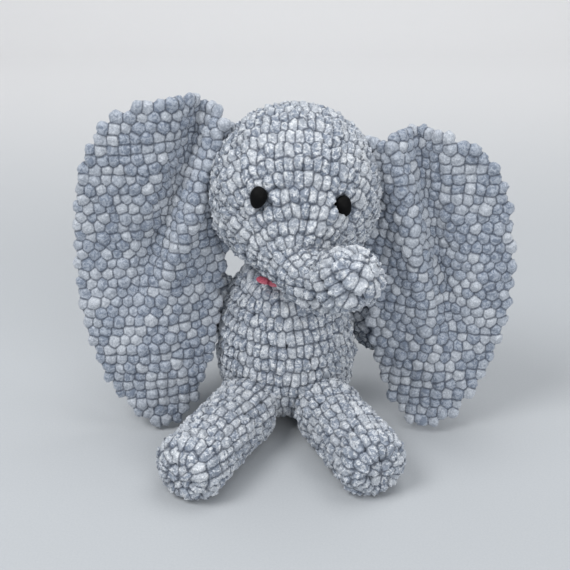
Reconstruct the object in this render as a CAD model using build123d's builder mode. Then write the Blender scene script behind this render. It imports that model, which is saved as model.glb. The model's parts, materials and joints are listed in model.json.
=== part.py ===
"""Crocheted stuffed elephant, sitting. Millimetres, +Z up, the face looks along -Y.

The origin lies on the surface the toy sits on, under the middle of its body.
Left and right are the elephant's own: its left side is +X.
"""
from build123d import *
import os
from math import cos, radians, sin

os.makedirs("parts", exist_ok=True)

# ---- yarn and fits -------------------------------------------------------
fabric_wall = 6.0            # thickness of the worked yarn fabric
stuffing_gap = 0.3           # stuffing to the inside of its cover
running_gap = 0.4            # a rounded root to the dimple it turns in
seam_yarn_radius = 1.8       # the sewing yarn of the round seams

# ---- body ----------------------------------------------------------------
body_radius = 41.0
body_widest_height = 30.0
body_seat_radius = 18.0      # flat disc the toy sits on
body_flare = (1, 0.35)       # direction of the side where it leaves the seat
shoulder_radius = 35.0       # round top of the body, which the head turns on
shoulder_height = 64.0       # centre of that round top
neck_opening_radius = 12.0
neck_seam_angle = 42.0       # from the vertical, seen from the shoulder's centre

# ---- head ----------------------------------------------------------------
head_radius = 48.0
head_offset = (5.0, -5.0)    # the head leans to the elephant's left and forward
head_settle = 3.0            # the head's round sinks this far over the shoulders
head_pitch = 31.0            # the face's axis points this far below level
head_yaw = 2.0
head_roll = 4.0              # the elephant's left eye sits lower
cheek_at = 30.0              # along the face's axis, which ends at the trunk
cheek_narrowing = 10.0       # the cheeks' radius is this much less than the head's
snout_at, snout_radius = 46.0, 21.0
snout_slope = (-1, 0.7)      # direction of the face where it meets the trunk

# ---- trunk ---------------------------------------------------------------
trunk_root_at = 58.0         # from the head's centre, along the face's axis
trunk_radius = 14.0
trunk_bend_offset = Vector(17, -70, -29)  # from the head's centre
trunk_tip_offset = Vector(34, -85, -10)
trunk_tip_rounding = 5.0
same_radius = 0.01           # edges this close to a radius have that radius

# ---- legs ----------------------------------------------------------------
leg_radius = 18.0
leg_root_proud = 8.5         # the round root is centred this far outside the belly
leg_root_angle = 30.0        # from straight ahead
leg_splay_angle = {"left": 23.0, "right": 26.0}
leg_length = {"left": 69.0, "right": 75.0}
sole_rounding = 8.0

# ---- arms ----------------------------------------------------------------
arm_radius = 11.5
arm_length = 42.0
arm_root_height = 70.0
arm_root_proud = 11.0        # centred this far outside the shoulders
arm_root_angle = 105.0       # from straight ahead, so just behind the sides
arm_hang_angle = 26.0        # from straight down, outwards
hand_rounding = 7.0

# ---- ears ----------------------------------------------------------------
ear_thickness = 8.0
ear_root_inside = 35.0       # inner edge, from the head's middle
ear_width = 92.0
ear_top = {"left": 34.0, "right": 52.0}   # above the head's centre
ear_floor_gap = 0.5          # the lower edge hangs this far above the floor
ear_tilt = 5.0               # the lower edge hangs forward
ear_bow = [(30.0, 5.0), (75.0, -20.0), (131.0, -2.0)]  # sideways and fore-and-aft
ear_seam_radius = 1.2
ear_seam_from, ear_seam_to = -38.0, 36.0  # degrees above the head's middle
ear_seam_back = 4.0          # behind the head's centre line

# ---- tail ----------------------------------------------------------------
tail_radius = 3.6
tail_length = 30.0
tail_root_height = 27.0
tail_hang_angle = 32.0
tuft_radius, tuft_length = 6.5, 14.0
tuft_widest_at = 9.8         # below the end of the tail's cord

# ---- eyes and mouth ------------------------------------------------------
eye_radius = 6.0
eye_height = 3.8
eye_half_angle = 36.5        # each side of the face's middle
eye_at = 31.0                # along the face's axis
eye_sink = 0.4               # the eye's back rests this far inside the cheek's round
eye_slant = 32.0             # the eye's own axis, from square to the face's axis
eye_post_radius = 2.2
eye_post_length = 13.0
washer_radius = 7.0
washer_thickness = 1.6
washer_seat = 2.2            # the flat washer stands this far off the curved fabric
post_fit = 0.05              # post in the washer and in the fabric
mouth_at = 40.0
mouth_proud = 2.838          # the yarn's middle stands this far off the face
mouth_turn = 208.0           # round the face's axis, from its top
mouth_length = 9.0
mouth_yarn_radius = 1.5
mouth_end_rounding = 1.2

# ---- what follows from those sizes ---------------------------------------
head_centre = Vector(*head_offset, shoulder_height + shoulder_radius + head_radius - head_settle)
cheek_radius = head_radius - cheek_narrowing
trunk_bend = head_centre + trunk_bend_offset
trunk_tip = head_centre + trunk_tip_offset
leg_root_out = body_radius + leg_root_proud
arm_root_out = shoulder_radius + arm_root_proud
tail_root_out = body_radius + tail_radius
ear_drop = head_centre.Z - ear_floor_gap

sides = {"left": 1.0, "right": -1.0}


def save(piece, name):
    piece.label = name
    export_step(piece, "parts/" + name + ".step")


def toward(yaw, pitch):
    """Unit vector: yaw from straight ahead towards +X, pitch below level."""
    level = cos(radians(pitch))
    return Vector(sin(radians(yaw)) * level, -cos(radians(yaw)) * level, -sin(radians(pitch)))


def side_plane(root, along, across):
    """Plane with its Y along a limb, for a profile that is revolved about the limb."""
    sideways = (across - along * across.dot(along)).normalized()
    return Plane(origin=root, x_dir=sideways, z_dir=sideways.cross(along))


up = Vector(0, 0, 1)
face = toward(head_yaw, head_pitch)
face_side = (Vector(1, 0, 0) - face * face.X).normalized()
face_up = face.cross(face_side)
face_plane = side_plane(head_centre, face, face_up)
trunk_root = head_centre + face * trunk_root_at


def limb_outline(radius, length, rounding):
    """Half section of a limb: round root, straight side, rounded flat end."""
    with BuildLine() as section:
        RadiusArc((0, -radius), (radius, 0), -radius)
        Line((radius, 0), (radius, length - rounding))
        RadiusArc((radius, length - rounding), (radius - rounding, length), -rounding)
        Polyline((radius - rounding, length), (0, length), (0, -radius))
    make_face(section.edges())


def limb(name, root, along, across, radius, length, rounding):
    """A sewn-on limb: a hollow cover, and the stuffing that fills it."""
    plane = side_plane(root, along, across)
    turning = Axis(root, along)
    with BuildPart() as cover:
        with BuildSketch(plane):
            limb_outline(radius, length, rounding)
        revolve(axis=turning)
        with BuildSketch(plane):
            limb_outline(radius - fabric_wall, length - fabric_wall, rounding / 2)
        revolve(axis=turning, mode=Mode.SUBTRACT)
    save(cover.part, name + "_cover")
    inside = fabric_wall + stuffing_gap
    with BuildPart() as stuffing:
        with BuildSketch(plane):
            limb_outline(radius - inside, length - inside, rounding / 2)
        revolve(axis=turning)
    save(stuffing.part, name + "_stuffing")


# ---- where the limbs are sewn on -----------------------------------------
leg_roots = {}
leg_directions = {}
arm_roots = {}
arm_directions = {}
for side, sign in sides.items():
    leg_out = toward(sign * leg_root_angle, 0)
    leg_roots[side] = leg_out * leg_root_out + up * leg_radius
    leg_directions[side] = toward(sign * leg_splay_angle[side], 0)
    arm_out = toward(sign * arm_root_angle, 0)
    arm_roots[side] = arm_out * arm_root_out + up * arm_root_height
    arm_directions[side] = toward(sign * arm_root_angle, 90.0 - arm_hang_angle)
tail_root = Vector(0, tail_root_out, tail_root_height)
tail_direction = Vector(0, sin(radians(tail_hang_angle)), -cos(radians(tail_hang_angle)))


def body_outline(inset):
    """Half section of the body: flat seat, full belly, round shoulders."""
    with BuildLine() as section:
        Line((0, inset), (body_seat_radius, inset))
        Spline(
            (body_seat_radius, inset),
            (body_radius - inset, body_widest_height),
            (shoulder_radius - inset, shoulder_height),
            tangents=[body_flare, (0, 1)],
        )
        RadiusArc(
            (shoulder_radius - inset, shoulder_height),
            (0, shoulder_height + shoulder_radius - inset),
            -(shoulder_radius - inset),
        )
        Line((0, shoulder_height + shoulder_radius - inset), (0, inset))
    make_face(section.edges())


def dimple(root, radius):
    """Hollow in a cover for the round root of a piece sewn to it."""
    with Locations(root):
        Sphere(radius + running_gap, mode=Mode.SUBTRACT)


with BuildPart() as body_cover:
    with BuildSketch(Plane.XZ):
        body_outline(0)
    revolve(axis=Axis.Z)
    with BuildSketch(Plane.XZ):
        body_outline(fabric_wall)
    revolve(axis=Axis.Z, mode=Mode.SUBTRACT)
    with BuildSketch(Plane.XY.offset(shoulder_height)):
        Circle(neck_opening_radius)
    extrude(amount=shoulder_radius + fabric_wall, mode=Mode.SUBTRACT)
    for side in sides:
        dimple(leg_roots[side], leg_radius)
        dimple(arm_roots[side], arm_radius)
    dimple(tail_root, tail_radius)
save(body_cover.part, "body_cover")

with BuildPart() as body_stuffing:
    with BuildSketch(Plane.XZ):
        body_outline(fabric_wall + stuffing_gap)
    revolve(axis=Axis.Z)
    for side in sides:
        dimple(leg_roots[side], leg_radius)
save(body_stuffing.part, "body_stuffing")


def ring(name, centre, along, turn_radius, yarn_radius):
    """A round of sewing yarn about a limb."""
    with BuildPart() as yarn:
        with Locations(Plane(origin=centre, z_dir=along)):
            Torus(turn_radius, yarn_radius)
    save(yarn.part, name)


neck_seam_reach = shoulder_radius + running_gap + seam_yarn_radius
ring(
    "neck_seam",
    up * (shoulder_height + neck_seam_reach * cos(radians(neck_seam_angle))),
    up,
    neck_seam_reach * sin(radians(neck_seam_angle)),
    seam_yarn_radius,
)


# ---- head ----------------------------------------------------------------
def face_line(inset):
    """The line of the face, from the head's widest round to the trunk."""
    return Spline(
        (head_radius - inset, 0),
        (cheek_radius - inset, cheek_at),
        (snout_radius - inset, snout_at - inset),
        tangents=[(0, 1), snout_slope],
    )


def face_radius_at(along):
    """Radius of the face's round at a distance along its axis."""
    line = face_line(0)
    low, high = 0.0, 1.0
    for halving in range(30):
        middle = (low + high) / 2
        if (line @ middle).Y < along:
            low = middle
        else:
            high = middle
    return (line @ low).X


def head_outline(inset):
    """Half section of the head: round behind, narrowing to the trunk."""
    with BuildLine() as section:
        RadiusArc((0, inset - head_radius), (head_radius - inset, 0), inset - head_radius)
        add(face_line(inset))
        Polyline((snout_radius - inset, snout_at - inset), (0, snout_at - inset), (0, inset - head_radius))
    make_face(section.edges())


def eye_plane(side):
    """The plane of an eye's back, where it rests on the fabric; its Z points out."""
    turn = radians(sides[side] * eye_half_angle + head_roll)
    outwards = face_up * cos(turn) + face_side * sin(turn)
    rest = head_centre + face * eye_at + outwards * (cheek_radius - eye_sink)
    looks = outwards * cos(radians(eye_slant)) + face * sin(radians(eye_slant))
    return Plane(origin=rest + looks * running_gap, z_dir=looks)


face_axis = Axis(head_centre, face)
shoulder = up * shoulder_height
with BuildPart() as head_cover:
    with BuildSketch(face_plane):
        head_outline(0)
    revolve(axis=face_axis)
    with BuildSketch(face_plane):
        head_outline(fabric_wall)
    revolve(axis=face_axis, mode=Mode.SUBTRACT)
    dimple(trunk_root, trunk_radius)
    dimple(shoulder, shoulder_radius)
    for side in sides:
        with BuildSketch(eye_plane(side)):
            Circle(eye_post_radius + post_fit)
        extrude(amount=-eye_post_length, mode=Mode.SUBTRACT)
save(head_cover.part, "head_cover")

with BuildPart() as head_stuffing:
    with BuildSketch(face_plane):
        head_outline(fabric_wall + stuffing_gap)
    revolve(axis=face_axis)
    dimple(trunk_root, trunk_radius)
    dimple(shoulder, shoulder_radius)
    for side in sides:
        with BuildSketch(eye_plane(side)):
            Circle(washer_radius + stuffing_gap)
        extrude(amount=-(eye_post_length + stuffing_gap), mode=Mode.SUBTRACT)
save(head_stuffing.part, "head_stuffing")


# ---- eyes ----------------------------------------------------------------
def eye(side):
    """Black domed eye with its post, and the washer that locks it inside the head."""
    back = eye_plane(side)
    dome_radius = (eye_radius**2 + eye_height**2) / (2 * eye_height)
    section = Plane(origin=back.origin, x_dir=back.x_dir, z_dir=back.x_dir.cross(back.z_dir))
    with BuildPart() as dome:
        with BuildSketch(section):
            with BuildLine():
                Line((0, 0), (eye_radius, 0))
                RadiusArc((eye_radius, 0), (0, eye_height), -dome_radius)
                Line((0, eye_height), (0, 0))
            make_face()
        revolve(axis=Axis(back.origin, back.z_dir))
        with BuildSketch(back):
            Circle(eye_post_radius)
        extrude(amount=-eye_post_length)
    save(dome.part, side + "_eye")
    washer_back = back.offset(-(fabric_wall + washer_seat + washer_thickness))
    with BuildPart() as washer:
        with BuildSketch(washer_back):
            Circle(washer_radius)
            Circle(eye_post_radius + post_fit, mode=Mode.SUBTRACT)
        extrude(amount=washer_thickness)
    save(washer.part, side + "_eye_washer")


for side in sides:
    eye(side)


# ---- mouth ---------------------------------------------------------------
mouth_out_direction = face_up * cos(radians(mouth_turn)) + face_side * sin(radians(mouth_turn))
mouth_out = face_radius_at(mouth_at) + mouth_proud
mouth_centre = head_centre + face * mouth_at + mouth_out_direction * mouth_out
mouth_along = face.cross(mouth_out_direction).normalized()
with BuildPart() as mouth:
    with BuildSketch(Plane(origin=mouth_centre - mouth_along * (mouth_length / 2), z_dir=mouth_along)):
        Circle(mouth_yarn_radius)
    extrude(amount=mouth_length)
    fillet(mouth.edges(), mouth_end_rounding)
save(mouth.part, "mouth")


# ---- trunk ---------------------------------------------------------------
trunk_base = trunk_bend - trunk_root
trunk_end = trunk_tip - trunk_bend
trunk_mitre = Plane(origin=trunk_bend, z_dir=trunk_base.normalized() + trunk_end.normalized())
past_mitre = 2 * trunk_radius


def trunk_solid(inset):
    """Round root and a first straight, then a second straight from the mitre to the tip."""
    with BuildPart() as base:
        with BuildSketch(side_plane(trunk_root, trunk_base.normalized(), up)):
            limb_outline(trunk_radius - inset, trunk_base.length + past_mitre, trunk_tip_rounding / 2)
        revolve(axis=Axis(trunk_root, trunk_base))
        split(bisect_by=trunk_mitre, keep=Keep.BOTTOM)
    end_from = trunk_bend - trunk_end.normalized() * past_mitre
    with BuildPart() as end:
        with Locations(Plane(origin=end_from, z_dir=trunk_end)):
            Cylinder(
                trunk_radius - inset,
                past_mitre + trunk_end.length - inset,
                align=(Align.CENTER, Align.CENTER, Align.MIN),
            )
        split(bisect_by=trunk_mitre, keep=Keep.TOP)
    return [base.part, end.part]


with BuildPart() as trunk_stuffing:
    add(trunk_solid(fabric_wall + stuffing_gap))
save(trunk_stuffing.part, "trunk_stuffing")

with BuildPart() as trunk_cover:
    add(trunk_solid(0))
    rounds = trunk_cover.edges().filter_by(GeomType.CIRCLE)
    tip_edges = rounds.filter_by(lambda edge: abs(edge.radius - trunk_radius) < same_radius)
    fillet(tip_edges.sort_by_distance(trunk_tip)[0], trunk_tip_rounding)
    add(trunk_solid(fabric_wall), mode=Mode.SUBTRACT)
save(trunk_cover.part, "trunk_cover")


# ---- limbs ---------------------------------------------------------------
for side in sides:
    limb(side + "_leg", leg_roots[side], leg_directions[side], up,
         leg_radius, leg_length[side], sole_rounding)
    limb(side + "_arm", arm_roots[side], arm_directions[side], Vector(0, 1, 0),
         arm_radius, arm_length, hand_rounding)


# ---- ears ----------------------------------------------------------------
# Outline of an ear: how far out from its root, and how far up, as shares of its
# width and height. The lower edge is round and the top corner is the fullest.
ear_shape = [
    (0.20, 0.99), (0.36, 1.00), (0.62, 0.985), (0.81, 0.92), (0.945, 0.785), (1.00, 0.60),
    (0.99, 0.42), (0.92, 0.25), (0.79, 0.11), (0.62, 0.02), (0.46, 0.00), (0.33, 0.04),
    (0.24, 0.13), (0.16, 0.25), (0.12, 0.40), (0.08, 0.52), (0.02, 0.68), (0.05, 0.90),
]
ear_up = Vector(0, sin(radians(ear_tilt)), cos(radians(ear_tilt)))
ear_middle = Vector(head_centre.X, 0, head_centre.Z)
ear_front = Plane(origin=ear_middle, x_dir=(1, 0, 0), z_dir=Vector(1, 0, 0).cross(ear_up))
ear_level = Plane(origin=ear_middle, x_dir=(1, 0, 0), z_dir=ear_up)


def ear(side):
    """A flat worked panel, bowed forward beside the head and hanging to the floor."""
    sign = sides[side]
    height = ear_top[side] + ear_drop
    corners = []
    for out, rise in ear_shape:
        corners.append((sign * (ear_root_inside + out * ear_width), rise * height - ear_drop))
    with BuildPart() as panel:
        with BuildSketch(ear_front):
            with BuildLine():
                Spline(*corners, periodic=True)
            make_face()
        extrude(amount=ear_width, both=True)
        with BuildSketch(ear_level):
            with BuildLine() as bow:
                ThreePointArc(*[(sign * out, back) for out, back in ear_bow])
            trace(bow.line, ear_thickness)
        extrude(amount=ear_drop + ear_width, both=True, mode=Mode.INTERSECT)
        with Locations(head_centre):
            Sphere(head_radius + 2 * ear_seam_radius + 2 * running_gap, mode=Mode.SUBTRACT)
    save(panel.part, side + "_ear")


def ear_seam(side):
    """The yarn that sews an ear to the head, lying along the head's side."""
    sign = sides[side]
    reach = head_radius + running_gap + ear_seam_radius
    circle_radius = (reach**2 - (ear_seam_back) ** 2) ** 0.5
    centre = head_centre + Vector(0, ear_seam_back, 0)
    with BuildPart() as yarn:
        with BuildLine() as line:
            points = []
            for turn in (ear_seam_from, (ear_seam_from + ear_seam_to) / 2, ear_seam_to):
                spoke = Vector(sign * cos(radians(turn)), 0, sin(radians(turn)))
                points.append(centre + spoke * circle_radius)
            ThreePointArc(*points)
        with BuildSketch(Plane(origin=line.line @ 0, z_dir=line.line % 0)):
            Circle(ear_seam_radius)
        sweep()
    save(yarn.part, side + "_ear_seam")


for side in sides:
    ear(side)
    ear_seam(side)


# ---- tail ----------------------------------------------------------------
def tail_outline(radius, length):
    """Half section of the tail: round at both ends."""
    with BuildLine() as section:
        RadiusArc((0, -radius), (radius, 0), -radius)
        Line((radius, 0), (radius, length))
        Polyline((radius, length), (0, length), (0, -radius))
    make_face(section.edges())


tail_plane = side_plane(tail_root, tail_direction, Vector(1, 0, 0))
with BuildPart() as tail:
    with BuildSketch(tail_plane):
        tail_outline(tail_radius, tail_length - tuft_length)
    revolve(axis=Axis(tail_root, tail_direction))
save(tail.part, "tail")

tuft_from = tail_length - tuft_length + stuffing_gap
with BuildPart() as tail_tuft:
    with BuildSketch(tail_plane):
        with BuildLine():
            Polyline((0, tuft_from), (tail_radius, tuft_from))
            Spline(
                (tail_radius, tuft_from),
                (tuft_radius, tuft_from + tuft_widest_at),
                (0, tuft_from + tuft_length),
                tangents=[(1, 1), (-1, 0)],
            )
            Line((0, tuft_from + tuft_length), (0, tuft_from))
        make_face()
    revolve(axis=Axis(tail_root, tail_direction))
save(tail_tuft.part, "tail_tuft")
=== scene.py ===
"""Looks of the crocheted elephant: stitches, yarn, eyes, floor, light and camera.

Every worked piece is made the way it is crocheted: one fat loop of plush yarn is
modelled, set along the rounds or rows of the piece, and the loops are fused into
one closed skin whose creases stay open.
"""

import json
from math import cos, exp, pi, radians, sin, sqrt

import bpy
import numpy as np
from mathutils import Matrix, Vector
from mathutils.kdtree import KDTree


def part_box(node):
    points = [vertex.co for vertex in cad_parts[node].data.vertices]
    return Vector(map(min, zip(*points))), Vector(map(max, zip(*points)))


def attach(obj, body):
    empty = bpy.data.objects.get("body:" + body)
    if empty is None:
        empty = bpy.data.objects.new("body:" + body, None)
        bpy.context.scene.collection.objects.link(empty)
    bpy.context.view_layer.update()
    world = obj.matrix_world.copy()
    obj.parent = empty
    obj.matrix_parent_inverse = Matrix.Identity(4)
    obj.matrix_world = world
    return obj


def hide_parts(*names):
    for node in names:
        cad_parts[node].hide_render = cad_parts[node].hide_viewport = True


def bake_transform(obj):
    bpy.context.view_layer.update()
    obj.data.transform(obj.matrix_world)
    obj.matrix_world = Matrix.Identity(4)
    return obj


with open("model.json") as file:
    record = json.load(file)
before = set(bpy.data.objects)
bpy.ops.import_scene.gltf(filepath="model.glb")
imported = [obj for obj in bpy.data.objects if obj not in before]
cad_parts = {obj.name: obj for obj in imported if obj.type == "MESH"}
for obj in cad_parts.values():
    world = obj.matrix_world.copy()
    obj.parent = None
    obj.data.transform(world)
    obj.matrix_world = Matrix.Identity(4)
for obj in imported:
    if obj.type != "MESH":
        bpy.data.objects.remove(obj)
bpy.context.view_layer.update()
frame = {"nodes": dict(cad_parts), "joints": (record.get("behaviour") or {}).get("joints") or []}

MM = 0.001
UP = np.array([0.0, 0.0, 1.0])
dice = np.random.default_rng(20)

# ---- the yarn --------------------------------------------------------------
ROUND_PITCH = 8.4 * MM       # one round to the next on the stuffed pieces
STITCH_PITCH = 10.0 * MM     # one stitch to the next along a round
ROW_PITCH = 5.7 * MM         # one row to the next on the ears
EAR_LOOP_PITCH = 6.5 * MM
EAR_PILE = 0.5               # the panel's pile stands half as deep as the stuffed pieces'
LOOP = (5.3 * MM, 3.3 * MM, 3.4 * MM)        # half length, half width, half thickness
EAR_LOOP = (4.1 * MM, 3.8 * MM, 3.4 * MM)
FABRIC_INSET = 2.0 * MM      # the closed fabric behind the loops
SKIN_GRAIN = 0.75 * MM       # fineness of the fused skin
TUFT_SIZE, TUFT_DEPTH = 2.4 * MM, 2.3 * MM   # tufts in the plush pile
FIBRE_SIZE, FIBRE_DEPTH = 0.9 * MM, 1.0 * MM  # bunches of fibre on the tufts


# ---- where the joints and pieces are ---------------------------------------
joints = {joint["name"]: joint for joint in frame["joints"]}


def place(joint):
    return np.array(joints[joint]["pos_m"], float)


def node_points(node):
    mesh = frame["nodes"][node].data
    points = np.empty(len(mesh.vertices) * 3)
    mesh.vertices.foreach_get("co", points)
    return points.reshape(-1, 3)


def unit(vector):
    return vector / np.linalg.norm(vector)


def limb_line(node, root):
    """Direction, length and radius of a straight limb's cover."""
    points = node_points(node) - root
    along = unit(np.linalg.svd(points - points.mean(0), full_matrices=False)[2][0])
    if along @ points.mean(0) < 0:
        along = -along
    rise = points @ along
    across = np.linalg.norm(points - rise[:, None] * along, axis=1)
    return along, rise.max(), across.max()


# ---- meshes ----------------------------------------------------------------
def clear_selection():
    bpy.ops.object.select_all(action="DESELECT")


def activate(piece):
    clear_selection()
    piece.select_set(True)
    bpy.context.view_layer.objects.active = piece


def new_piece(name, points, faces):
    mesh = bpy.data.meshes.new(name)
    mesh.from_pydata(points.tolist(), [], faces)
    piece = bpy.data.objects.new(name, mesh)
    bpy.context.scene.collection.objects.link(piece)
    return piece


def apply_modifier(piece, kind, **settings):
    activate(piece)
    modifier = piece.modifiers.new(kind.title(), kind)
    for key, value in settings.items():
        setattr(modifier, key, value)
    bpy.ops.object.modifier_apply(modifier=modifier.name)


def yarn_loop():
    """One fat loop of yarn, modelled once: a ball drawn to a petal. X along, Y across, Z out."""
    clear_selection()
    bpy.ops.mesh.primitive_uv_sphere_add(segments=10, ring_count=7, radius=1.0)
    loop = bpy.context.object
    bpy.ops.object.mode_set(mode="EDIT")
    bpy.ops.mesh.select_all(action="SELECT")
    bpy.ops.transform.rotate(value=pi / 2, orient_axis="Y", center_override=(0, 0, 0))
    bpy.ops.object.mode_set(mode="OBJECT")
    points = np.array([v.co for v in loop.data.vertices])
    points[:, 1] *= 1.0 - 0.22 * points[:, 0]
    points[:, 2] *= 1.0 - 0.10 * points[:, 0]
    faces = [tuple(p.vertices) for p in loop.data.polygons]
    bpy.data.objects.remove(loop)
    return points, faces


loop_points, loop_faces = yarn_loop()


class Loops:
    """The loops of one piece: centres, axes (along, across, out) and sizes."""

    def __init__(self):
        self.centres, self.axes, self.sizes, self.tones = [], [], [], []

    def add(self, centre, along, out, size, lean=0.0):
        along = unit(along - out * (along @ out))
        across = np.cross(out, along)
        turned = along * cos(lean) + across * sin(lean)
        self.centres.append(centre)
        self.axes.append(np.array([turned, np.cross(out, turned), out]))
        self.sizes.append(np.array(size))
        self.tones.append(dice.random())

    def mesh(self):
        all_points, all_faces = [], []
        for count, (centre, axes, size) in enumerate(zip(self.centres, self.axes, self.sizes)):
            all_points.append(centre + (loop_points * size) @ axes)
            start = count * len(loop_points)
            all_faces += [tuple(start + corner for corner in face) for face in loop_faces]
        return np.concatenate(all_points), all_faces


# ---- the fused skin ----------------------------------------------------------
def fuse(name, loops, core, grain=SKIN_GRAIN, pile=1.0):
    """Fuses the loops and the fabric behind them into one closed skin with an uneven pile."""
    points, faces = loops.mesh()
    for core_points, core_faces in core:
        start = len(points)
        points = np.concatenate([points, core_points])
        faces += [tuple(start + corner for corner in face) for face in core_faces]
    skin = new_piece(name, points, faces)
    apply_modifier(skin, "REMESH", mode="VOXEL", voxel_size=grain, use_smooth_shade=True)
    apply_modifier(skin, "SMOOTH", factor=0.5, iterations=1)
    for texture, depth in ((tuft_texture, TUFT_DEPTH), (fibre_texture, FIBRE_DEPTH)):
        apply_modifier(skin, "DISPLACE", texture=texture, strength=depth * pile, mid_level=0.5,
                       texture_coords="GLOBAL")
    mark_yarn(skin, loops)
    return skin


def cloud_texture(name, size):
    texture = bpy.data.textures.new(name, "CLOUDS")
    texture.noise_scale = size
    texture.noise_depth = 1
    texture.contrast = 1.4
    return texture


tuft_texture = cloud_texture("tufts", TUFT_SIZE)
fibre_texture = cloud_texture("fibres", FIBRE_SIZE)


def mark_yarn(skin, loops):
    """Writes, for each point, its loop's tone, its height on the loop and the crease between loops."""
    centres = np.array(loops.centres)
    axes = np.array(loops.axes)
    sizes = np.array(loops.sizes)
    tones = np.array(loops.tones)
    tree = KDTree(len(centres))
    for index, centre in enumerate(centres):
        tree.insert(centre, index)
    tree.balance()
    points = np.empty(len(skin.data.vertices) * 3)
    skin.data.vertices.foreach_get("co", points)
    points = points.reshape(-1, 3)
    near = np.array([[found[1] for found in tree.find_n(p, 4)] for p in points])
    apart = points[:, None, :] - centres[near]
    local = np.einsum("pkij,pkj->pki", axes[near], apart) / sizes[near]
    reach = np.linalg.norm(local, axis=2)
    order = np.argsort(reach, axis=1)
    rows = np.arange(len(points))
    first, second = order[:, 0], order[:, 1]
    crease = np.clip(1.0 - (reach[rows, second] - reach[rows, first]) / 0.5, 0.0, 1.0)
    height = np.clip(local[rows, first, 2], -1.0, 1.0)
    tone = tones[near[rows, first]]
    for layer, values in (("tone", tone), ("crease", crease), ("height", height)):
        attribute = skin.data.attributes.new(layer, "FLOAT", "POINT")
        attribute.data.foreach_set("value", values.astype(np.float32))


# ---- pieces worked in the round ----------------------------------------------
class Round:
    """A surface worked in rounds about a line: a profile of (along, radius) and a bend."""

    def __init__(self, root, along, start_side, profile, bend=None):
        self.root, self.along = root, unit(along)
        self.side = unit(start_side - self.along * (start_side @ self.along))
        self.other = np.cross(self.along, self.side)
        self.profile = np.array(profile)
        steps = np.linalg.norm(np.diff(self.profile, axis=0), axis=1)
        self.travel = np.concatenate([[0.0], np.cumsum(steps)])
        self.bend = bend

    def spot(self, travel, turn, inset=0.0):
        along = np.interp(travel, self.travel, self.profile[:, 0])
        radius = np.interp(travel, self.travel, self.profile[:, 1])
        step = 0.5 * MM
        ahead, behind = travel + step, travel - step
        d_along, d_radius = (
            np.interp(ahead, self.travel, self.profile[:, column])
            - np.interp(behind, self.travel, self.profile[:, column])
            for column in (0, 1))
        slope = max(sqrt(d_along**2 + d_radius**2), 1e-9)
        along += inset * d_radius / slope
        radius = max(radius - inset * d_along / slope, 0.0)
        point = np.array([radius * cos(turn), radius * sin(turn), along])
        if self.bend is not None:
            return self.bend(point)
        return self.root + self.side * point[0] + self.other * point[1] + self.along * point[2]

    def frame(self, travel, turn):
        """Point, direction along the profile and outward direction."""
        step = 0.6 * MM
        here = self.spot(travel, turn)
        along = unit(self.spot(travel + step, turn) - self.spot(travel - step, turn))
        out = unit(here - self.spot(travel, turn, inset=step * 2))
        return here, along, out

    def core(self, inset, turns=40, steps=40):
        """A closed inner surface, which stops the skin from having holes."""
        points = [self.spot(0.0, 0.0, inset)]
        ends = self.travel[-1]
        for step in range(1, steps):
            for turn in range(turns):
                points.append(self.spot(ends * step / steps, 2 * pi * turn / turns, inset))
        points.append(self.spot(ends, 0.0, inset))
        faces = [(0, 1 + (turn + 1) % turns, 1 + turn) for turn in range(turns)]
        for step in range(steps - 2):
            base = 1 + step * turns
            for turn in range(turns):
                after = (turn + 1) % turns
                faces.append((base + turn, base + after, base + turns + after, base + turns + turn))
        last, base = len(points) - 1, 1 + (steps - 2) * turns
        faces += [(last, base + turn, base + (turn + 1) % turns) for turn in range(turns)]
        return np.array(points), faces


def smooth_line(points, count=120):
    """A smooth curve through a few (along, radius) points."""
    points = np.array(points, float)
    t = np.concatenate([[0.0], np.cumsum(np.linalg.norm(np.diff(points, axis=0), axis=1))])
    at = np.linspace(0.0, t[-1], count)
    slopes = np.gradient(points, t, axis=0)
    result = []
    for value in at:
        k = min(np.searchsorted(t, value, side="right") - 1, len(t) - 2)
        span = t[k + 1] - t[k]
        s = (value - t[k]) / span
        result.append(
            (2 * s**3 - 3 * s**2 + 1) * points[k] + (s**3 - 2 * s**2 + s) * span * slopes[k]
            + (-2 * s**3 + 3 * s**2) * points[k + 1] + (s**3 - s**2) * span * slopes[k + 1]
        )
    result = np.array(result)
    result[:, 1] = np.maximum(result[:, 1], 0.0)
    return result


def crochet_round(surface, skip=(), lean=radians(17), size=LOOP, first_turn=0.0, drift=0.35):
    """Rounds of stitches, each stitch a V of two loops."""
    loops = Loops()
    rounds = max(int(round(surface.travel[-1] / ROUND_PITCH)), 2)
    pitch = surface.travel[-1] / rounds
    for count in range(rounds):
        travel = (count + 0.5) * pitch
        radius = np.interp(travel, surface.travel, surface.profile[:, 1])
        stitches = max(int(round(2 * pi * radius / STITCH_PITCH)), 3)
        phase = first_turn + count * drift
        for stitch in range(stitches):
            middle = phase + 2 * pi * (stitch + dice.uniform(-0.06, 0.06)) / stitches
            half = 2 * pi / stitches * 0.24
            for hand in (-1.0, 1.0):
                turn = middle + hand * half
                at = travel + dice.normal(0.0, 0.5 * MM)
                here, along, out = surface.frame(at, turn)
                if any(np.linalg.norm(here - gap) < reach for gap, reach in skip):
                    continue
                share = 2 * pi * max(radius, 2 * MM) / stitches / STITCH_PITCH
                width = size[1] * min(share, 1.12) * dice.uniform(0.92, 1.12)
                grow = dice.uniform(0.93, 1.1)
                depth = dice.normal(0.0, 0.35 * MM) - 0.6 * MM
                thickness = size[2] * dice.uniform(0.92, 1.1)
                loops.add(here + out * depth, along, out, (size[0] * grow, width, thickness),
                          hand * lean + dice.normal(0.0, 0.12))
    return loops


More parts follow.
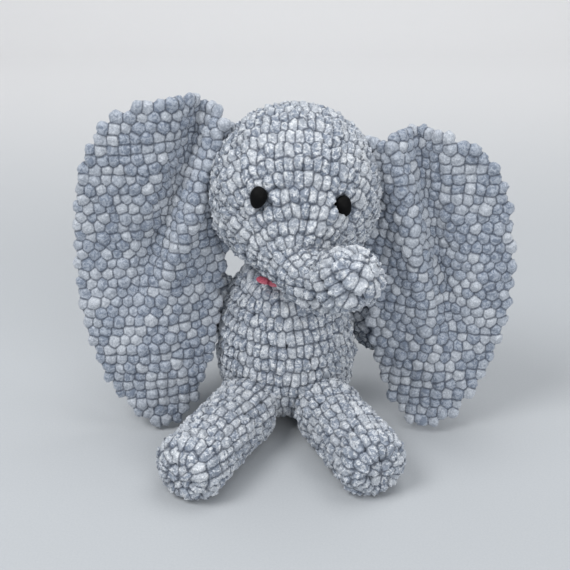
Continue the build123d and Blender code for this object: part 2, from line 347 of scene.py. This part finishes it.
# ---- materials ---------------------------------------------------------------
def srgb(red, green, blue):
    """A colour read as 0-255 on a screen, as the linear values that a shader takes."""
    linear = []
    for value in (red, green, blue):
        value /= 255.0
        linear.append(value / 12.92 if value <= 0.04045 else ((value + 0.055) / 1.055) ** 2.4)
    return (*linear, 1.0)


def node(tree, kind, **settings):
    made = tree.nodes.new(kind)
    for key, value in settings.items():
        setattr(made, key, value)
    return made


def mix_colour(tree, amount, first, second, blend="MIX"):
    mixer = node(tree, "ShaderNodeMix", data_type="RGBA", blend_type=blend)
    for socket, value in ((mixer.inputs[0], amount), (mixer.inputs[6], first), (mixer.inputs[7], second)):
        if isinstance(value, bpy.types.NodeSocket):
            tree.links.new(value, socket)
        else:
            socket.default_value = value
    return mixer.outputs[2]


def spread(tree, value, low, high, to_low=0.0, to_high=1.0):
    """Maps a value from one range to another, held at the ends."""
    mapped = node(tree, "ShaderNodeMapRange", interpolation_type="SMOOTHSTEP")
    tree.links.new(value, mapped.inputs["Value"])
    mapped.inputs["From Min"].default_value = low
    mapped.inputs["From Max"].default_value = high
    mapped.inputs["To Min"].default_value = to_low
    mapped.inputs["To Max"].default_value = to_high
    return mapped.outputs["Result"]


def grain_noise(tree, place_from, scale, detail=3.0, roughness=0.6, distortion=0.0):
    noise = node(tree, "ShaderNodeTexNoise")
    tree.links.new(place_from, noise.inputs["Vector"])
    noise.inputs["Scale"].default_value = scale
    noise.inputs["Detail"].default_value = detail
    noise.inputs["Roughness"].default_value = roughness
    noise.inputs["Distortion"].default_value = distortion
    return noise.outputs["Fac"]


def plush_yarn(name, crease_shade, shade, body, light):
    """Plush yarn: painted shade in the creases, a blue-grey pile with paler loops at random, and a painted
    highlight on the crests.
    """
    material = bpy.data.materials.new(name)
    material.use_nodes = True
    tree = material.node_tree
    shader = tree.nodes["Principled BSDF"]
    where = node(tree, "ShaderNodeTexCoord").outputs["Object"]
    layers = {layer: node(tree, "ShaderNodeAttribute", attribute_name=layer).outputs["Fac"]
              for layer in ("tone", "crease", "height")}
    patches = grain_noise(tree, where, 330.0, detail=3.0, roughness=0.7, distortion=1.2)
    fibres = grain_noise(tree, where, 1100.0, detail=3.0, roughness=0.75)
    colour = mix_colour(tree, spread(tree, patches, 0.42, 0.56), shade, body)
    colour = mix_colour(tree, spread(tree, layers["tone"], 0.3, 1.0, 0.0, 0.5), colour, light)
    # painted highlight: the crests of the loops, by their height on the loop, are lightened towards the
    # light colour where the noise patches allow
    crest_highlight = node(tree, "ShaderNodeMath", operation="MULTIPLY")
    tree.links.new(spread(tree, layers["height"], 0.1, 0.9), crest_highlight.inputs[0])
    tree.links.new(spread(tree, patches, 0.47, 0.60, 0.1, 1.0), crest_highlight.inputs[1])
    colour = mix_colour(tree, crest_highlight.outputs[0], colour, light)
    colour = mix_colour(tree, spread(tree, fibres, 0.38, 0.60, 0.45, 0.0), colour, shade)
    # painted shade: points near the crease between two loops are darkened towards the first, darkest colour
    colour = mix_colour(tree, spread(tree, layers["crease"], 0.35, 1.0, 0.0, 0.9), colour, crease_shade)
    tree.links.new(colour, shader.inputs["Base Color"])
    shader.inputs["Roughness"].default_value = 0.95
    shader.inputs["Specular IOR Level"].default_value = 0.15
    shader.inputs["Sheen Weight"].default_value = 0.35
    shader.inputs["Sheen Roughness"].default_value = 0.5
    shader.inputs["Sheen Tint"].default_value = light
    bump = node(tree, "ShaderNodeBump")
    bump.inputs["Strength"].default_value = 0.9
    bump.inputs["Distance"].default_value = 0.6 * MM
    tree.links.new(fibres, bump.inputs["Height"])
    tree.links.new(bump.outputs["Normal"], shader.inputs["Normal"])
    return material


# the first colour of each yarn is painted shade for the creases; the last is the pale colour of paler loops
# and of the painted highlight on the crests
grey_yarn = plush_yarn("blue_grey_plush_yarn", srgb(66, 73, 86), srgb(124, 134, 150),
                       srgb(176, 184, 196), srgb(232, 235, 238))
pink_yarn = plush_yarn("pink_yarn", srgb(120, 40, 56), srgb(205, 96, 116), srgb(232, 122, 140),
                       srgb(246, 168, 178))


def plain_finish(name, colour, roughness, noise_scale, noise_depth, specular=0.5):
    """A moulded or fibrous finish with a fine uneven surface."""
    material = bpy.data.materials.new(name)
    material.use_nodes = True
    tree = material.node_tree
    shader = tree.nodes["Principled BSDF"]
    where = node(tree, "ShaderNodeTexCoord").outputs["Object"]
    grain = grain_noise(tree, where, noise_scale)
    darker = tuple(part * 0.82 for part in colour[:3]) + (1.0,)
    mixed = mix_colour(tree, spread(tree, grain, 0.3, 0.7), darker, colour)
    tree.links.new(mixed, shader.inputs["Base Color"])
    shader.inputs["Roughness"].default_value = roughness
    shader.inputs["Specular IOR Level"].default_value = specular
    bump = node(tree, "ShaderNodeBump")
    bump.inputs["Strength"].default_value = 0.4
    bump.inputs["Distance"].default_value = noise_depth
    tree.links.new(grain, bump.inputs["Height"])
    tree.links.new(bump.outputs["Normal"], shader.inputs["Normal"])
    return material


eye_black = plain_finish("black_eye", srgb(5, 5, 6), 0.62, 400.0, 0.05 * MM, specular=0.12)
washer_white = plain_finish("white_washer", srgb(225, 225, 222), 0.5, 300.0, 0.05 * MM)
fibre_white = plain_finish("white_fibre", srgb(238, 238, 236), 0.95, 160.0, 1.2 * MM, specular=0.1)


def dress(piece, material, body=None, replaces=()):
    """Gives a piece its material, its body and what it stands for."""
    piece.data.materials.clear()
    piece.data.materials.append(material)
    if body is not None:
        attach(piece, body)
    if replaces:
        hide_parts(*replaces)
    return piece


def stuffing(name, surface, inset, body, replaces):
    """The fibre filling inside a cover: the cover's own shape, smaller and lumpy."""
    points, faces = surface.core(inset, turns=32, steps=28)
    piece = new_piece(name, points, faces)
    apply_modifier(piece, "DISPLACE", texture=lump_texture, strength=1.5 * MM, mid_level=0.7,
                   texture_coords="GLOBAL")
    activate(piece)
    bpy.ops.object.shade_smooth()
    return dress(piece, fibre_white, body, replaces)


lump_texture = cloud_texture("lumps", 7 * MM)


# ---- head ----------------------------------------------------------------------
head_low, head_high = (np.array(corner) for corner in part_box("head_cover"))
head_radius = (head_high[0] - head_low[0]) / 2
head_centre = np.array([
    (head_low[0] + head_high[0]) / 2,
    head_high[1] - head_radius,
    head_high[2] - head_radius,
])
trunk_root = place("trunk_swing")
face = unit(trunk_root - head_centre)
face_side = unit(np.array([1.0, 0.0, 0.0]) - face * face[0])
face_up = np.cross(face, face_side)

head_profile = [(-head_radius * cos(turn), head_radius * sin(turn)) for turn in np.linspace(0.0, pi / 2, 30)]
face_profile = smooth_line([(0.0, head_radius), (16 * MM, 45.5 * MM), (31 * MM, 36.5 * MM),
                            (44 * MM, 25 * MM), (52 * MM, 17 * MM), (57 * MM, 8 * MM), (58 * MM, 0.0)], 60)
head_surface = Round(head_centre, face, face_up, head_profile + [tuple(point) for point in face_profile[1:]])

EYE_SIZE = (4.7 * MM, 6.2 * MM, 4.6 * MM)
eye_spots = {}
for side in ("left", "right"):
    low, high = (np.array(corner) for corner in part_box(side + "_eye"))
    points = node_points(side + "_eye")
    middle = (low + high) / 2
    out = unit(middle - head_centre)
    tip = points[np.argmax((points - head_centre) @ out)]
    eye_spots[side] = head_centre + unit(tip - head_centre) * (np.linalg.norm(tip - head_centre) - 2.8 * MM)

eye_spots["left"] = eye_spots["left"] - face_up * 4.2 * MM
eye_spots["right"] = eye_spots["right"] + face_up * 1.6 * MM

head_loops = crochet_round(head_surface, skip=[(spot, 6.4 * MM) for spot in eye_spots.values()])
head = fuse("head_skin", head_loops, [head_surface.core(FABRIC_INSET)])
dress(head, grey_yarn, "head", ("head_cover",))
stuffing("head_fibre", head_surface, 9 * MM, "head", ("head_stuffing",))

# ---- body ----------------------------------------------------------------------
body_low, body_high = (np.array(corner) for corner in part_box("body_cover"))
belly = (body_high[0] - body_low[0]) / 2
shoulder_height = place("head_turn")[2]
shoulder_radius = 36 * MM
body_profile = smooth_line([
    (3.0 * MM, 0.0), (3.2 * MM, 18 * MM), (12 * MM, belly - 7.5 * MM), (30 * MM, belly - 0.5 * MM),
    (48 * MM, belly - 1.5 * MM),
    (shoulder_height, shoulder_radius + 0.5 * MM), (shoulder_height + 20 * MM, 29 * MM),
    (shoulder_height + 31 * MM, 16 * MM), (shoulder_height + 33 * MM, 0.0)], 120)
body_surface = Round(np.zeros(3), UP, np.array([1.0, 0.0, 0.0]), body_profile)
body = fuse("body_skin", crochet_round(body_surface, first_turn=0.4), [body_surface.core(FABRIC_INSET)])
dress(body, grey_yarn, "body", ("body_cover",))
stuffing("body_fibre", body_surface, 9 * MM, "body", ("body_stuffing",))


# ---- legs and arms ---------------------------------------------------------------
def limb(name, joint, root_reach, waist):
    """A stuffed limb, worked from its end to its root, sewn to the body at the root."""
    root = place(joint)
    along, length, radius = limb_line(name + "_cover", root)
    inner = radius - 0.8 * MM
    profile = smooth_line([
        (-root_reach - 2 * MM, 0.0), (-root_reach, inner * 0.55), (-root_reach * 0.4, inner * 0.92),
        (length * 0.3, inner * waist), (length * 0.7, inner), (length - 7 * MM, inner * 0.93),
        (length - 3.0 * MM, inner * 0.62), (length - 2.6 * MM, 0.0)], 90)
    surface = Round(root, along, UP, profile)
    loops = crochet_round(surface, first_turn=dice.uniform(0, 1), lean=radians(-17))
    skin = fuse(name + "_skin", loops, [surface.core(FABRIC_INSET, turns=28)])
    dress(skin, grey_yarn, None, (name + "_cover",))
    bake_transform(skin)
    stuffing(name + "_fibre", Round(root, along, UP, smooth_line([
        (-9 * MM, 0.0), (-6 * MM, inner * 0.6), (0.0, inner * 0.9), (length * 0.15, inner * 0.95),
        (length * 0.8, inner * 0.95), (length - 8 * MM, inner * 0.93), (length - 3 * MM, inner * 0.6),
        (length - 2 * MM, 0.0)], 60)), 6.5 * MM, name, (name + "_stuffing",))


for side in ("left", "right"):
    limb(side + "_leg", side + "_leg_lift", 16 * MM, 1.0)
    limb(side + "_arm", side + "_arm_raise", 11 * MM, 0.97)

# ---- trunk -----------------------------------------------------------------------

def trunk_bend(point):
    """Carries a point of a straight trunk onto the trunk's curve."""
    x, y, along = point
    t = along / trunk_length
    here = bezier(t)
    heading = unit(bezier(t + 0.01) - bezier(t - 0.01))
    sideways = unit(np.cross(heading, UP))
    rising = np.cross(sideways, heading)
    return here + sideways * x + rising * y


def bezier(t):
    a, b, c, d = trunk_line
    return (1 - t)**3 * a + 3 * t * (1 - t)**2 * b + 3 * t**2 * (1 - t) * c + t**3 * d


trunk_from = head_centre + face * 42 * MM
trunk_line = [
    trunk_from,
    trunk_from + face * 22 * MM + np.array([3.0, 0.0, -2.0]) * MM,
    np.array([24.0, -78.0, 108.0]) * MM,
    np.array([39.0, -90.0, 133.5]) * MM,
]
trunk_length = sum(np.linalg.norm(bezier((k + 1) / 40) - bezier(k / 40)) for k in range(40))
trunk_profile = smooth_line([
    (-5 * MM, 0.0), (-4 * MM, 8 * MM), (0.0, 15.5 * MM), (trunk_length * 0.3, 14.5 * MM),
    (trunk_length * 0.62, 13.0 * MM),
    (trunk_length - 3 * MM, 12.4 * MM), (trunk_length + 0.6 * MM, 7 * MM), (trunk_length + 1 * MM, 0.0)], 90)
trunk_surface = Round(trunk_from, face, face_up, trunk_profile, bend=trunk_bend)
trunk = fuse("trunk_skin", crochet_round(trunk_surface, lean=radians(-20)),
             [trunk_surface.core(FABRIC_INSET, turns=28)])
dress(trunk, grey_yarn, None, ("trunk_cover",))
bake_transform(trunk)
stuffing("trunk_fibre", trunk_surface, 7 * MM, "trunk", ("trunk_stuffing",))


# ---- ears --------------------------------------------------------------------------
EAR_EDGE = [  # out from the root and up, as shares of the ear's width and height
    (0.03, 0.93), (0.20, 0.985), (0.36, 1.00), (0.62, 0.985), (0.81, 0.92), (0.945, 0.785), (1.00, 0.60),
    (0.99, 0.42), (0.92, 0.25), (0.79, 0.11), (0.62, 0.02), (0.46, 0.00), (0.33, 0.04),
    (0.24, 0.13), (0.16, 0.25), (0.12, 0.40), (0.08, 0.52), (0.00, 0.68), (-0.02, 0.82)]


def closed_curve(points, count=200):
    """A smooth closed line through a few points."""
    points = np.array(points, float)
    result = []
    total = len(points)
    for step in range(count):
        value = step * total / count
        k, s = int(value), value % 1.0
        a, b, c, d = (points[(k + shift) % total] for shift in (-1, 0, 1, 2))
        result.append(0.5 * (2 * b + (c - a) * s + (2 * a - 5 * b + 4 * c - d) * s**2
                             + (3 * b - a - 3 * c + d) * s**3))
    return np.array(result)


def hump(value, centre, width):
    return exp(-((value - centre) / width) ** 2)


def ear(side, sign, fold_top, fold_foot, fold_depth):
    """A flat panel worked in rows, pleated beside the head and hanging to the floor."""
    low, high = (np.array(corner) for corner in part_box(side + "_ear"))
    inner, outer = 35 * MM, max(abs(low[0] - head_centre[0]), abs(high[0] - head_centre[0])) - 1.5 * MM
    foot, top = low[2] + 2.0 * MM, high[2] - 1.5 * MM
    edge = closed_curve([(inner + out * (outer - inner), foot + rise * (top - foot))
                         for out, rise in EAR_EDGE])

    def surface(out, height):
        """Point of the ear's middle layer."""
        lean = (head_centre[2] - height) * 0.0875
        bow = 5 * MM - 25 * MM * sin(min(max((out - 30 * MM) / (92 * MM), 0.0), 1.25) * pi * 0.66)
        down = min(max((fold_top[1] - height) / (fold_top[1] - fold_foot[1]), -0.3), 1.6)
        valley_at = fold_top[0] + (fold_foot[0] - fold_top[0]) * down
        strength = 1.0 / (1.0 + exp((down - 1.05) * 7.0))
        fold = fold_depth * strength * (
            hump(out, valley_at, 9 * MM) - 0.6 * hump(out, valley_at - 15 * MM, 8 * MM))
        dish = 5 * MM * hump(out, 98 * MM, 18 * MM) * hump(height, 120 * MM, 60 * MM)
        curl = -7 * MM * max(0.0, 1.0 - height / (26 * MM)) ** 2
        ripple = 1.6 * MM * sin(height / (17 * MM) + out / (23 * MM) * sign)
        return np.array([head_centre[0] + sign * out, bow - lean + fold + dish + curl + ripple, height])

    def frame_at(out, height):
        step = 1 * MM
        across = unit(surface(out + step, height) - surface(out - step, height)) * sign
        rise = unit(surface(out, height + step) - surface(out, height - step))
        return surface(out, height), rise, unit(np.cross(across, rise)) * -1.0

    loops = Loops()
    rows = int((top - foot) / ROW_PITCH)
    for row in range(rows + 1):
        height = foot + (row + 0.3) * (top - foot) / (rows + 0.6)
        crossing = []
        for a, b in zip(edge, np.roll(edge, -1, axis=0)):
            if (a[1] - height) * (b[1] - height) < 0:
                crossing.append(a[0] + (b[0] - a[0]) * (height - a[1]) / (b[1] - a[1]))
        if len(crossing) < 2:
            continue
        start, end = min(crossing), max(crossing)
        span = [surface(start + (end - start) * k / 40, height) for k in range(41)]
        length = np.concatenate([[0.0], np.cumsum(np.linalg.norm(np.diff(span, axis=0), axis=1))])
        count = max(int(length[-1] / EAR_LOOP_PITCH), 2)
        for loop in range(count + 1):
            along = length[-1] * (loop + (0.5 if row % 2 else 0.0) * 0.8) / (count + 0.4)
            along += dice.normal(0.0, 0.5 * MM)
            out = start + (end - start) * np.interp(along, length, np.linspace(0.0, 1.0, 41))
            here, rise, normal = frame_at(out, height + dice.normal(0.0, 0.4 * MM))
            lean = (0.35 if row % 2 else -0.35) + dice.normal(0.0, 0.3)
            grow = dice.uniform(0.9, 1.15)
            loops.add(here + normal * dice.normal(0.0, 0.5 * MM), -rise, normal,
                      (EAR_LOOP[0] * grow, EAR_LOOP[1] * dice.uniform(0.86, 1.1), EAR_LOOP[2]), lean)
    outline = closed_curve(edge[::4], 96)
    middle = np.array([edge[:, 0].mean(), edge[:, 1].mean()])
    rings = 12
    front, back = [], []
    for ring in range(rings + 1):
        share = 1.0 - ring / rings
        for point in outline:
            spot = middle + (point - middle) * max(share, 0.001) * 0.985
            here, rise, normal = frame_at(*spot)
            front.append(here + normal * 1.2 * MM)
            back.append(here - normal * 1.2 * MM)
    count = len(outline)
    points = np.array(front + back)
    faces = []
    offset = len(front)
    for ring in range(rings):
        for k in range(count):
            a, b = ring * count + k, ring * count + (k + 1) % count
            faces.append((a, b, b + count, a + count))
            faces.append((offset + a + count, offset + b + count, offset + b, offset + a))
    faces += [(k, offset + k, offset + (k + 1) % count, (k + 1) % count) for k in range(count)]
    skin = fuse(side + "_ear_skin", loops, [(points, faces)], grain=0.8 * MM, pile=EAR_PILE)
    dress(skin, grey_yarn, None, (side + "_ear",))
    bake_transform(skin)


ear("left", 1.0, (71 * MM, 170 * MM), (92 * MM, 75 * MM), 13 * MM)
ear("right", -1.0, (56 * MM, 184 * MM), (84 * MM, 108 * MM), 15 * MM)


# ---- sewing yarn and mouth ------------------------------------------------------------
def strands(name, spots, size, material, body_name, replaces):
    """Short strands of yarn side by side, as whip stitches lie along a seam."""
    loops = Loops()
    for here, along, out in spots:
        loops.add(here, along, out, size, dice.normal(0.0, 0.1))
    points, faces = loops.mesh()
    piece = new_piece(name, points, faces)
    apply_modifier(piece, "REMESH", mode="VOXEL", voxel_size=0.6 * MM, use_smooth_shade=True)
    mark_yarn(piece, loops)
    return dress(piece, material, body_name, replaces)


neck_low, neck_high = (np.array(corner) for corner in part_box("neck_seam"))
neck_radius, neck_height = (neck_high[0] - neck_low[0]) / 2 - 3 * MM, (neck_low[2] + neck_high[2]) / 2
neck_spots = []
for turn in np.linspace(0.0, 2 * pi, 25)[:-1]:
    out = np.array([cos(turn), sin(turn), 0.0])
    neck_spots.append((out * neck_radius + UP * (neck_height + 1 * MM), unit(UP - out * 0.5),
                       unit(out + UP * 0.6)))
strands("neck_stitches", neck_spots, (5 * MM, 2.4 * MM, 2.4 * MM), grey_yarn, "neck",
        ("neck_seam",))

for side, sign in (("left", 1.0), ("right", -1.0)):
    spots = []
    for turn in np.linspace(radians(-38), radians(36), 9):
        spoke = np.array([sign * cos(turn), 0.0, sin(turn)])
        here = head_centre + spoke * (head_radius + 1.5 * MM) + np.array([0.0, 3.0 * MM, 0.0])
        spots.append((here, unit(spoke + np.array([0.0, -0.3, 0.0])), np.array([0.0, 1.0, 0.0])))
    strands(side + "_ear_stitches", spots, (4.5 * MM, 2.2 * MM, 2.2 * MM), grey_yarn, "head",
            (side + "_ear_seam",))

mouth_low, mouth_high = (np.array(corner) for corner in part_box("mouth"))
mouth_out = unit((mouth_low + mouth_high) / 2 - head_centre)
mouth_middle = (mouth_low + mouth_high) / 2 + mouth_out * 5.5 * MM + face_up * 2 * MM
mouth_along = unit(np.cross(face, mouth_out))
strands("mouth_stitch",
        [(mouth_middle + mouth_along * step * MM, mouth_along, mouth_out) for step in (-3.0, 3.0)],
        (5.0 * MM, 2.3 * MM, 2.3 * MM), pink_yarn, "head", ("mouth",))


# ---- eyes ---------------------------------------------------------------------------
def eye(side):
    """A domed eye with a flat rim, pushed through the fabric."""
    spot = eye_spots[side]
    out = unit(unit(spot - head_centre) + face * 0.15)
    across = unit(np.cross(face_up, out))
    rise = np.cross(out, across)
    clear_selection()
    bpy.ops.mesh.primitive_uv_sphere_add(segments=32, ring_count=20, radius=1.0)
    dome = bpy.context.object
    dome.name = side + "_eye_dome"
    points = np.array([v.co for v in dome.data.vertices])
    points[:, 2] = np.where(points[:, 2] < 0, points[:, 2] * 0.35, points[:, 2])
    wobble = 1.0 + 0.05 * np.sin(np.arctan2(points[:, 1], points[:, 0]) * 3 + spot[0] * 400)
    placed = spot + (points[:, :1] * wobble[:, None] * EYE_SIZE[0]) * across \
        + (points[:, 1:2] * wobble[:, None] * EYE_SIZE[1]) * rise + points[:, 2:] * EYE_SIZE[2] * out
    dome.data.vertices.foreach_set("co", placed.ravel())
    dome.data.update()
    activate(dome)
    bpy.ops.object.shade_smooth()
    dress(dome, eye_black, "head", (side + "_eye",))


for side in ("left", "right"):
    eye(side)
    washer = frame["nodes"][side + "_eye_washer"]
    washer.data.materials.clear()
    washer.data.materials.append(washer_white)

# ---- tail ------------------------------------------------------------------------------
tail_root = place("tail_wag")
tuft_low, tuft_high = (np.array(corner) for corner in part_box("tail_tuft"))
tail_along = unit((tuft_low + tuft_high) / 2 - tail_root)
tail_loops = Loops()
for count in range(5):
    for hand in (-1.0, 1.0):
        here = tail_root + tail_along * (count * 4.4 - 3.0) * MM + np.array([hand * 1.5, 0.0, 0.0]) * MM
        tail_loops.add(here, tail_along, np.array([0.0, 1.0, 0.0]), (3.6 * MM, 2.3 * MM, 2.4 * MM),
                       hand * 0.4)
tail = fuse("tail_skin", tail_loops, [], grain=0.6 * MM)
dress(tail, grey_yarn, None, ("tail",))
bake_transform(tail)

tuft_top = tail_root + tail_along * 17 * MM
tuft_loops = Loops()
for count in range(9):
    turn = 2 * pi * count / 9
    lean = np.array([cos(turn), sin(turn), 0.0]) * (0.32 if count else 0.0)
    strand = unit(tail_along + lean)
    tuft_out = unit(np.cross(strand, np.array([sin(turn), -cos(turn), 0.2])))
    tuft_loops.add(tuft_top + strand * 6.5 * MM, strand, tuft_out,
                   (7.0 * MM, 1.7 * MM, 1.7 * MM))
tuft = fuse("tail_tuft_skin", tuft_loops, [], grain=0.5 * MM)
dress(tuft, grey_yarn, "tail", ("tail_tuft",))


# ---- floor, light and camera --------------------------------------------------------------
def sweep_material():
    """A pale matt cloth with a faint weave, painted darker on the floor as painted shade and lighter towards
    the wall as painted light.
    """
    material = bpy.data.materials.new("pale_floor")
    material.use_nodes = True
    tree = material.node_tree
    shader = tree.nodes["Principled BSDF"]
    where = node(tree, "ShaderNodeTexCoord").outputs["Object"]
    weave = grain_noise(tree, where, 900.0, detail=1.0)
    parts = node(tree, "ShaderNodeSeparateXYZ")
    tree.links.new(where, parts.inputs[0])
    # one pale cloth: the floor is painted darker as painted shade and the cloth towards the wall lighter as
    # painted light, blended along Y from 0.1 to 1.0 m
    shaded_floor_cloth = mix_colour(tree, weave, srgb(176, 180, 184), srgb(186, 189, 192))
    lit_wall_cloth = mix_colour(tree, weave, srgb(222, 222, 223), srgb(228, 228, 229))
    tree.links.new(mix_colour(tree, spread(tree, parts.outputs["Y"], 0.1, 1.0), shaded_floor_cloth, lit_wall_cloth),
                   shader.inputs["Base Color"])
    shader.inputs["Roughness"].default_value = 0.9
    shader.inputs["Specular IOR Level"].default_value = 0.1
    return material


def backdrop():
    """A floor that sweeps up behind into a wall."""
    depth, wall, bend, width = 1.5, 2.2, 0.5, 3.0
    line = [(-2.0, 0.0)]
    for turn in np.linspace(0.0, pi / 2, 16):
        line.append((depth - bend + bend * sin(turn), bend - bend * cos(turn)))
    line.append((depth, wall))
    points, faces = [], []
    for side in (-width, width):
        points += [(side, y, z) for y, z in line]
    count = len(line)
    for k in range(count - 1):
        faces.append((k, count + k, count + k + 1, k + 1))
    floor = new_piece("floor_sweep", np.array(points), faces)
    activate(floor)
    bpy.ops.object.shade_smooth()
    floor.data.materials.append(sweep_material())


def lamp(name, where, aim, size, watts):
    light = bpy.data.lights.new(name, "AREA")
    light.shape = "DISK"
    light.size = size
    light.energy = watts
    holder = bpy.data.objects.new(name, light)
    bpy.context.scene.collection.objects.link(holder)
    holder.location = where
    holder.rotation_euler = (Vector(aim) - Vector(where)).to_track_quat("-Z", "Y").to_euler()


backdrop()
lamp("window", (-0.9, -0.6, 1.5), (0, 0, 0.08), 0.9, 17.0)
lamp("ceiling", (0.5, 0.2, 1.9), (0, 0, 0.08), 1.4, 14.0)
lamp("fill", (0.7, -1.6, 0.7), (0, 0, 0.1), 1.2, 14.0)

world = bpy.data.worlds.new("soft_room")
bpy.context.scene.world = world
world.use_nodes = True
world.node_tree.nodes["Background"].inputs["Color"].default_value = (0.94, 0.97, 1.0, 1.0)
world.node_tree.nodes["Background"].inputs["Strength"].default_value = 0.42

CAMERA_PITCH = radians(25)
CAMERA_DISTANCE = 0.6
FRAME_WIDTH = 0.342          # what the picture spans at the aim
aim = Vector((-0.0006, -0.010, 0.0856))
camera = bpy.data.cameras.new("camera")
camera.sensor_width = 36.0
camera.lens = camera.sensor_width * CAMERA_DISTANCE / FRAME_WIDTH
holder = bpy.data.objects.new("camera", camera)
bpy.context.scene.collection.objects.link(holder)
holder.location = aim + Vector((0.0, -cos(CAMERA_PITCH), sin(CAMERA_PITCH))) * CAMERA_DISTANCE
holder.rotation_euler = (pi / 2 - CAMERA_PITCH, 0.0, 0.0)
bpy.context.scene.camera = holder

bpy.context.scene.view_settings.view_transform = "Standard"
